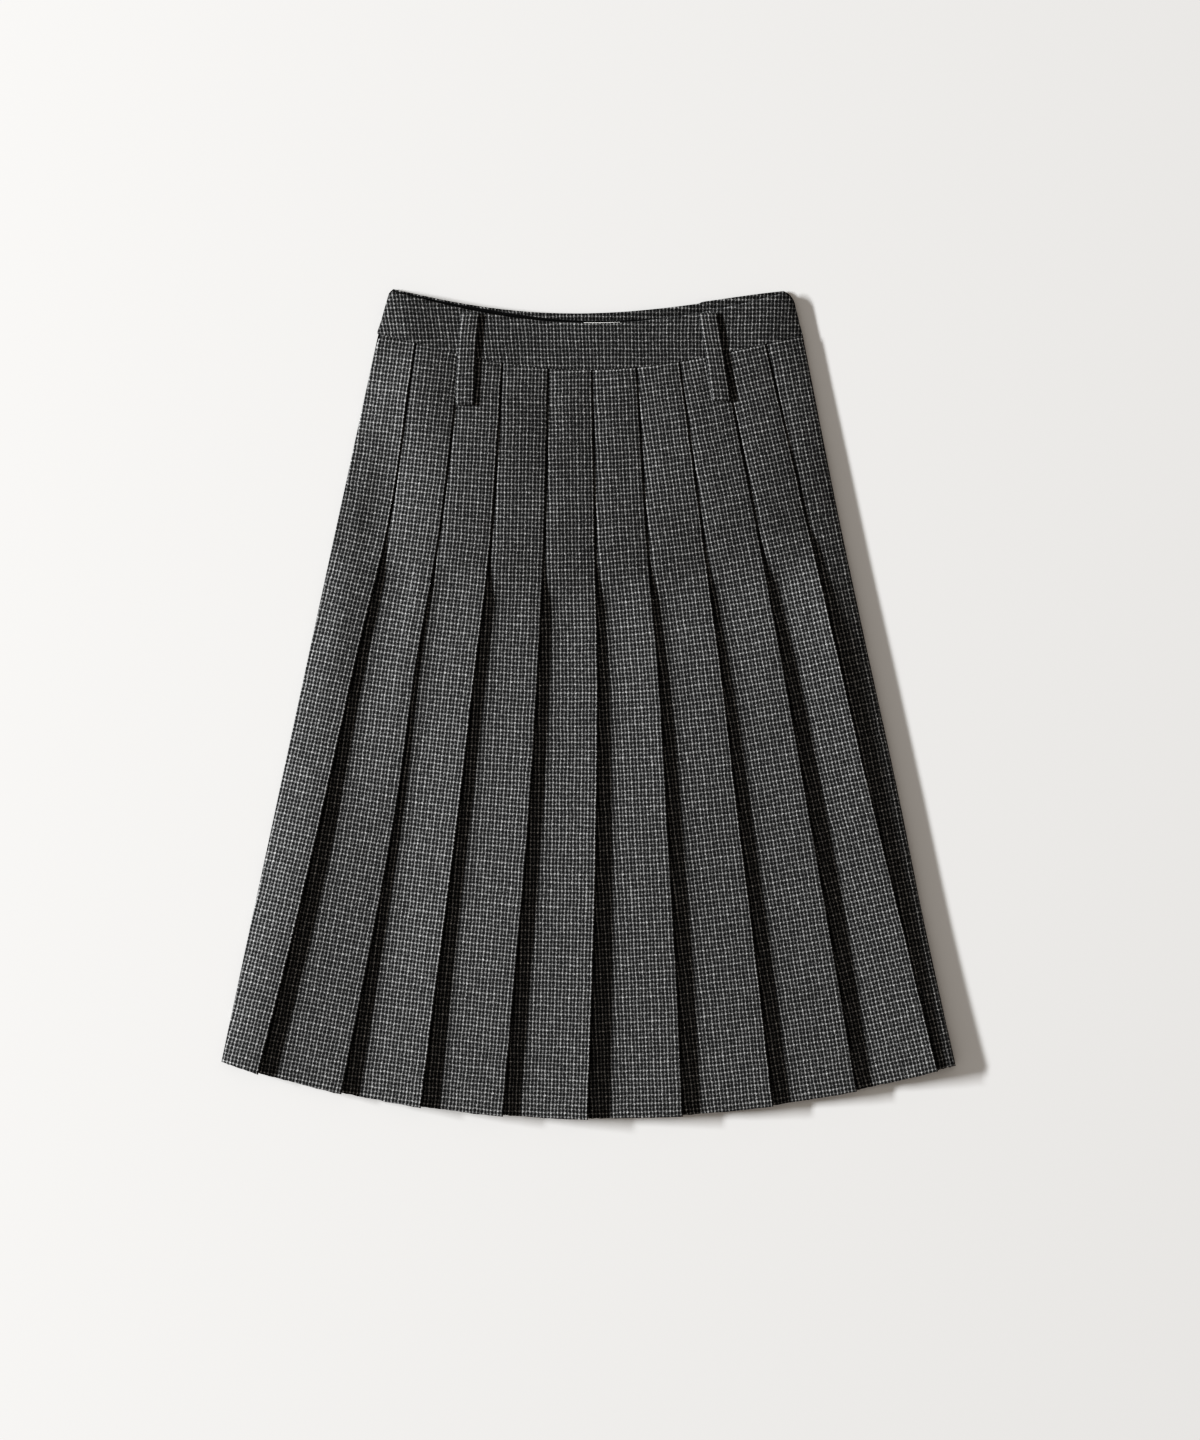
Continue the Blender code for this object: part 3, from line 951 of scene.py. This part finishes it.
def wool(name, settings, brightness=1.0):
    """The check as a material of its own, a little lighter or darker."""
    finish, tree, shader = new_finish(name, WOOL_SPECULAR, GROUND_ROUGHNESS)
    shader.inputs["Sheen Weight"].default_value = settings.sheen
    shader.inputs["Sheen Roughness"].default_value = SHEEN_ROUGHNESS
    weave = tree.nodes.new("ShaderNodeGroup")
    weave.node_tree = weave_group()
    weave.inputs["Ground"].default_value = (*(brightness * c for c in settings.ground), 1.0)
    weave.inputs["Yarn"].default_value = (*(brightness * c for c in settings.yarn), 1.0)
    grain = put(tree, "ShaderNodeUVMap", uv_map="Grain")
    tree.links.new(grain.outputs["UV"], weave.inputs["Grain"])
    bump = put(tree, "ShaderNodeBump", {"Distance": settings.relief, "Strength": 1.0})
    tree.links.new(weave.outputs["Height"], bump.inputs["Height"])
    tree.links.new(weave.outputs["Colour"], shader.inputs["Base Color"])
    tree.links.new(weave.outputs["Roughness"], shader.inputs["Roughness"])
    tree.links.new(bump.outputs["Normal"], shader.inputs["Normal"])
    return finish


def ribs(tree, place, spacing):
    """Even ribs, so far apart in metres."""
    return calc(tree, "SINE", calc(tree, "MULTIPLY", place, 2.0 * np.pi / spacing))


def painted_shade_cloth(name, settings):
    """A plain dark cloth with fine slanting ribs, which paints shade where it is put."""
    finish, tree, shader = new_finish(name, WOOL_SPECULAR, PAINTED_SHADE_ROUGHNESS)
    grain = put(tree, "ShaderNodeUVMap", uv_map="Grain")
    parts = put(tree, "ShaderNodeSeparateXYZ", {"Vector": grain.outputs["UV"]})
    height = ribs(tree, calc(tree, "ADD", parts.outputs["X"], parts.outputs["Y"]), TWILL_SPACING)
    bump = put(tree, "ShaderNodeBump", {"Height": height, "Distance": settings.relief})
    shader.inputs["Base Color"].default_value = (*settings.ground, 1.0)
    tree.links.new(bump.outputs["Normal"], shader.inputs["Normal"])
    return finish


def tape(name, settings):
    """A fine white tape with ribs across it and ends along it."""
    finish, tree, shader = new_finish(name, TAPE_SPECULAR, TAPE_ROUGHNESS)
    shader.inputs["Sheen Weight"].default_value = TAPE_SHEEN
    grain = put(tree, "ShaderNodeUVMap", uv_map="Grain")
    parts = put(tree, "ShaderNodeSeparateXYZ", {"Vector": grain.outputs["UV"]})
    across, along = ribs(tree, parts.outputs["Y"], TAPE_RIBS), ribs(tree, parts.outputs["X"], TAPE_ENDS)
    height = calc(tree, "ADD", across, along)
    shade = uneven_at(tree, grain.outputs["UV"], TAPE_SHADE, 1.0)
    colour = put(tree, "ShaderNodeMix", {"Factor": shade}, data_type="RGBA")
    colour.inputs["A"].default_value = TAPE_SHADOW
    colour.inputs["B"].default_value = (*settings.label, 1.0)
    bump = put(tree, "ShaderNodeBump", {"Height": height, "Distance": TAPE_RELIEF})
    tree.links.new(colour.outputs["Result"], shader.inputs["Base Color"])
    tree.links.new(bump.outputs["Normal"], shader.inputs["Normal"])
    return finish


# Pieces


def make_front(settings):
    """The pleated front, with its pressed edges facing right."""
    side = Side(FOLD_LINES, FRONT_SEAM, 1.0, FRONT_INNER, front_profile)
    rows, panels, reaches = pleated_points(side, FRONT_ROW_COUNT)
    yarns = np.random.default_rng(HEM_SEED).normal(0.0, HEM_YARN, rows.shape[1])
    rows[-1, :, 1] += np.clip(yarns, -2.0 * HEM_YARN, 2.0 * HEM_YARN)
    grain = grain_of(side, rows, panels, reaches)
    piece = cloth_mesh("pleated_front", rows, grain, wool("Pleated wool", settings))
    add_wall(piece, CLOTH, FRONT_EDGE)
    declare(piece, "front_panel")


def flipped(line):
    """A fold line on the other side of the skirt."""
    places = [-x for x in line[: len(LINE_STATIONS)]]
    return FoldLine(*places, *line[len(LINE_STATIONS):])


def make_back(settings):
    """The pleated back, which lies under the front with its outer face down."""
    lines = (flipped(FOLD_LINES[-1]), *FOLD_LINES[1:-1], flipped(FOLD_LINES[0]))
    side = Side(lines, BACK_SEAM, -1.0, BACK_INNER, back_profile)
    rows, panels, reaches = pleated_points(side, BACK_ROW_COUNT)
    grain = grain_of(side, rows, panels, reaches)
    piece = cloth_mesh("pleated_back", rows, grain, wool("Pleated wool, back", settings))
    add_wall(piece, CLOTH)
    declare(piece, "back_panel")


def band_place(seam, top, height, across):
    """X and Y on the waistband, from its seam edge at height 0 to its top edge at height 1."""
    heights = [end.height for end in BAND_ENDS]
    left = np.interp(height, heights, [end.left for end in BAND_ENDS])
    right = np.interp(height, heights, [end.right for end in BAND_ENDS])
    low = through(QUARTERS, seam, across) + GAP / 2.0
    high = through(QUARTERS, top, across)
    return left + across * (right - left), low + height * (high - low)


def front_band_rise(height, x):
    """Middle height of the front band: it leans on the pleats at its seam and comes down to the back
    band at its ends, and the label lifts its top edge a little more."""
    from_end = ease(np.minimum(x - BAND_ENDS[0].left, BAND_ENDS[0].right - x) / BAND_SIDE_EASE)
    middle = BAND_SEAM_RISE + (BAND_TOP_RISE - BAND_SEAM_RISE) * height
    beside_label = np.abs(x - LABEL_X) - LABEL_WIDTH / 2.0 - LABEL_MARGIN
    lift = LABEL_LIFT * height * (1.0 - ease(beside_label / LABEL_EASE))
    return BAND_END_RISE + (middle - BAND_END_RISE) * from_end + lift


def back_band_rise(height, x):
    """Middle height of the back band: it lies flat, and stands up a little towards its top edge."""
    from_end = ease(np.minimum(x - BAND_ENDS[-1].left, BAND_ENDS[-1].right - x) / BAND_SIDE_EASE)
    return BAND_WALL / 2.0 + STAND_UP * from_end * ease((height - 1.0 + STAND_DEPTH) / STAND_DEPTH)


def band_levels(up, places):
    """Rows of the folded band: how high up the band each lies, at every place across, and how far it lies
    from the band's middle. The last rows, which take the dark cloth of painted shade, start at the returned
    index."""
    fold = BAND_HALF_GAP / BAND_DEPTH
    x = BAND_ENDS[-1].left + places * (BAND_ENDS[-1].right - BAND_ENDS[-1].left)
    # facing: the share of the depth below the top edge where the painted shade starts
    facing = np.interp(x, [point.x for point in PAINTED_SHADE_START], [point.below for point in PAINTED_SHADE_START]) / BAND_DEPTH
    level = 0.0 * places
    outer, inner = up * BAND_HALF_GAP, -up * BAND_HALF_GAP
    levels = [(level + share * (1.0 - fold), outer) for share in BAND_ROWS]
    for angle in np.radians(np.linspace(BAND_FOLD_ANGLE, -BAND_FOLD_ANGLE, BAND_FOLD_ROWS)):
        levels.append((level + 1.0 - fold + fold * np.cos(angle), outer * np.sin(angle)))
    levels.append((level + 1.0 - fold, inner))
    levels += [(1.0 - fold - (facing - fold) * share, inner) for share in PAINTED_SHADE_ROWS]
    shade_row = len(levels) - 1
    levels += [((1.0 - facing) * share, inner) for share in HIDDEN_ROWS]
    return levels, shade_row


def make_band(name, node, seam, top, rise, up, settings):
    """A strip folded along its top edge, with its cut edges at the seam. Up is 1 where its outer face looks
    up, and -1 where it looks down; there, inside below its top edge, a dark cloth paints shade."""
    places = np.linspace(0.0, 1.0, BAND_COLUMN_COUNT)
    rows, grains = [], []
    levels, shade_row = band_levels(up, places)
    for height, side in levels:
        x, y = band_place(seam, top, height, places)
        if up < 0.0:
            y = y + BAND_STEP * height * ease((x - BAND_STEP_X) / BAND_STEP_EASE)
        middle = (x[0] + x[-1]) / 2.0
        inset = BAND_INSET * ease(0.5 - side * up / (2.0 * BAND_HALF_GAP))
        x = middle + (x - middle) * (1.0 - inset / (x[-1] - middle))
        z = rise(height, x) + side
        if side * up >= 0.0:
            from_end = np.clip(np.minimum(x - x[0], x[-1] - x) / BAND_END_ROUND, 0.0, 1.0)
            z = z - BAND_END_SHARE * side * (1.0 - np.sqrt(1.0 - (1.0 - from_end) ** 2))
        if up > 0.0:
            z = z + creases(x, y)
        rows.append(np.stack((x, y, z), axis=-1))
        lean = np.radians(BAND_LEAN - BAND_LEAN_CHANGE * x)
        grains.append(np.stack((x + (y - BAND_LEAN_Y) * np.tan(lean), y + 0.0 * x), axis=-1))
    # The order of the rows turns the faces, so that they look outwards on both lengths of the band
    if up > 0.0:
        rows, grains = rows[::-1], grains[::-1]
    rows = np.array(rows)
    # Painted shade: the band's wool is a darker copy of the pleats'
    finish = wool(name.replace("_", " "), settings, BAND_PAINTED_SHADE)
    piece = cloth_mesh(name, rows, row_grain(grains), finish)
    # Painted shade: from that row down, the inside of the back length takes a dark cloth without light
    # yarns, named Band facing
    if up < 0.0:
        piece.data.materials.append(painted_shade_cloth("Band facing", settings))
        for face in piece.data.polygons[shade_row * (BAND_COLUMN_COUNT - 1):]:
            face.material_index = 1
    add_wall(piece, BAND_CLOTH)
    declare(piece, node)


def row_grain(grains):
    """Where both ends of each stretch of each row lie in the grain, in metres, from each point's own."""
    grains = np.array(grains) * MM
    return np.stack((grains[:, :-1], grains[:, 1:]), axis=2)


def make_loop(side, settings):
    """A narrow strip of doubled cloth over the band and the pleats below it."""
    top, seam, low = LOOPS[side]
    length = top.y - low.y
    seam_share = (top.y - seam.y) / length
    across = np.linspace(-1.0, 1.0, LOOP_COLUMN_COUNT)
    rows, grains = [], []
    for share in np.linspace(0.0, 1.0, LOOP_ROW_COUNT):
        x = through((0.0, seam_share, 1.0), (top.x, seam.x, low.x), share)
        y = top.y - share * length
        height = np.clip((y - seam.y) / (top.y + LOOP_BELOW_TOP - seam.y), 0.0, 1.0)
        band = front_band_rise(height, x) + BAND_WALL / 2.0
        pleats = FRONT_INNER + 2.0 * PITCH + CLOTH / 2.0
        beneath = band + (pleats - band) * ease((seam.y + LOOP_EASE - y) / (LOOP_EASE / 2.0))
        places = x + across * LOOP_WIDTH / 2.0
        z = beneath + GAP + LOOP_CLOTH + creases(places, y) + LOOP_CURVE * (1.0 - across**4)
        z = z + swell(places, max(seam.y - y, 0.0) / (seam.y - HEM_LOW))
        rows.append(np.stack((places, y + 0.0 * across, z), axis=-1))
        grains.append(np.stack((across * LOOP_WIDTH / 2.0, y + 0.0 * across), axis=-1))
    rows = np.array(rows)
    finish = wool(f"Belt loop {side}", settings)
    piece = cloth_mesh(f"belt_loop_{side}_strip", rows, row_grain(grains), finish)
    add_wall(piece, 2.0 * LOOP_CLOTH, LOOP_EDGE)
    declare(piece, f"belt_loop_{side}")


def make_label(settings):
    """A bare woven tape, folded along its top edge, which is all that shows of it."""
    left, right = FOLD_LINES[0].waist, FOLD_LINES[-1].waist
    places = LABEL_X + np.linspace(-0.5, 0.5, LABEL_COLUMN_COUNT) * LABEL_WIDTH
    top = through(QUARTERS, FRONT_TOP, (places - left) / (right - left)) + LABEL_SHOWS
    low_z = BAND_WALL + GAP + LABEL_PITCH / 2.0
    level = 0.0 * places
    back = [TapePoint(down, LABEL_PITCH - up) for down, up in reversed(LABEL_PATH[:-1])]
    rows = np.array(
        [np.stack((places, top - down, low_z + up + level), axis=-1) for down, up in (*LABEL_PATH, *back)]
    )
    piece = cloth_mesh("label_tape", rows, row_grain(rows[..., :2]), tape("Label tape", settings))
    add_wall(piece, LABEL_WALL)
    declare(piece, "waist_label")


def make_floor(settings):
    """A plain pale floor just under the skirt."""
    clear_selection()
    bpy.ops.mesh.primitive_plane_add(size=FLOOR_SIZE, location=(0.0, 0.0, FLOOR_Z))
    floor = bpy.context.object
    floor.name = "floor"
    finish, _, shader = new_finish("Floor", FLOOR_SPECULAR, FLOOR_ROUGHNESS)
    shader.inputs["Base Color"].default_value = (*settings.floor, 1.0)
    floor.data.materials.append(finish)


def make_light(settings):
    """One long low lamp on the left, and a weak warm sky."""
    elevation, bearing = settings.key_elevation, settings.key_bearing
    lamp = bpy.data.lights.new("Key", "AREA")
    lamp.shape = "RECTANGLE"
    lamp.size = LAMP_LENGTH
    lamp.size_y = LAMP_WIDTH
    lamp.energy = settings.key
    lamp.color = LAMP_COLOUR
    key = bpy.data.objects.new("Key", lamp)
    key.location = LAMP_DISTANCE * np.array(
        (
            -np.cos(elevation) * np.cos(bearing),
            np.cos(elevation) * np.sin(bearing),
            np.sin(elevation),
        )
    )
    key.rotation_euler = (np.pi / 2.0 - elevation, 0.0, -np.pi / 2.0 - bearing)
    bpy.context.collection.objects.link(key)
    world = bpy.data.worlds.new("Studio")
    world.use_nodes = True
    sky = world.node_tree.nodes["Background"]
    sky.inputs["Color"].default_value = SKY_COLOUR
    sky.inputs["Strength"].default_value = settings.fill
    bpy.context.scene.world = world


def make_camera(settings):
    """A lens straight above, and the tone curve of its view."""
    lens = bpy.data.cameras.new("Camera")
    lens.sensor_width = SENSOR
    lens.lens = SENSOR * settings.camera_height / VIEW_HEIGHT
    camera = bpy.data.objects.new("Camera", lens)
    camera.location = (VIEW_X, VIEW_Y, settings.camera_height + SKIRT_HEIGHT)
    bpy.context.collection.objects.link(camera)
    bpy.context.scene.camera = camera
    view = bpy.context.scene.view_settings
    view.view_transform = "Standard"
    view.use_curve_mapping = True
    for light, shown in TONES:
        view.curve_mapping.curves[3].points.new(light, shown)
    view.curve_mapping.update()


class SKIRT_OT_front(bpy.types.Operator):
    """Make the pleated front"""

    bl_idname = "skirt.front"
    bl_label = "Pleated front"

    def execute(self, context):
        make_front(context.scene.skirt_cloth)
        return {"FINISHED"}


class SKIRT_OT_back(bpy.types.Operator):
    """Make the pleated back"""

    bl_idname = "skirt.back"
    bl_label = "Pleated back"

    def execute(self, context):
        make_back(context.scene.skirt_cloth)
        return {"FINISHED"}


class SKIRT_OT_waistband(bpy.types.Operator):
    """Make the front and the back length of the waistband"""

    bl_idname = "skirt.waistband"
    bl_label = "Waistband"

    def execute(self, context):
        cloth = context.scene.skirt_cloth
        make_band("band_front", "waistband_front", FRONT_SEAM, FRONT_TOP, front_band_rise, 1.0, cloth)
        make_band("band_back", "waistband_back", BACK_SEAM, BACK_TOP, back_band_rise, -1.0, cloth)
        return {"FINISHED"}


class SKIRT_OT_belt_loops(bpy.types.Operator):
    """Make the two belt loops"""

    bl_idname = "skirt.belt_loops"
    bl_label = "Belt loops"

    def execute(self, context):
        for side in LOOPS:
            make_loop(side, context.scene.skirt_cloth)
        return {"FINISHED"}


class SKIRT_OT_label(bpy.types.Operator):
    """Make the bare label inside the waist"""

    bl_idname = "skirt.label"
    bl_label = "Label"

    def execute(self, context):
        make_label(context.scene.skirt_cloth)
        return {"FINISHED"}


class SKIRT_OT_stage(bpy.types.Operator):
    """Make the floor, the light and the camera"""

    bl_idname = "skirt.stage"
    bl_label = "Stage"

    def execute(self, context):
        stage = context.scene.skirt_stage
        make_floor(stage)
        make_light(stage)
        make_camera(stage)
        return {"FINISHED"}


class SKIRT_PT_pieces(bpy.types.Panel):
    """The pieces of the skirt and their settings"""

    bl_idname = "SKIRT_PT_pieces"
    bl_label = "Pleated skirt"
    bl_space_type = "VIEW_3D"
    bl_region_type = "UI"
    bl_category = "Skirt"

    def draw(self, context):
        for group in (context.scene.skirt_cloth, context.scene.skirt_stage):
            box = self.layout.box()
            for name in group.__annotations__:
                box.prop(group, name)
        for operator in OPERATORS:
            self.layout.operator(operator.bl_idname)


OPERATORS = (
    SKIRT_OT_front,
    SKIRT_OT_back,
    SKIRT_OT_waistband,
    SKIRT_OT_belt_loops,
    SKIRT_OT_label,
    SKIRT_OT_stage,
)
CLASSES = (SkirtCloth, SkirtStage, *OPERATORS, SKIRT_PT_pieces)


def register():
    for kind in CLASSES:
        bpy.utils.register_class(kind)
    bpy.types.Scene.skirt_cloth = PointerProperty(type=SkirtCloth)
    bpy.types.Scene.skirt_stage = PointerProperty(type=SkirtStage)


def unregister():
    del bpy.types.Scene.skirt_cloth
    del bpy.types.Scene.skirt_stage
    for kind in reversed(CLASSES):
        bpy.utils.unregister_class(kind)


def main():
    register()
    bpy.ops.skirt.front()
    bpy.ops.skirt.back()
    bpy.ops.skirt.waistband()
    bpy.ops.skirt.belt_loops()
    bpy.ops.skirt.label()
    bpy.ops.skirt.stage()


if __name__ == "__main__":
    main()
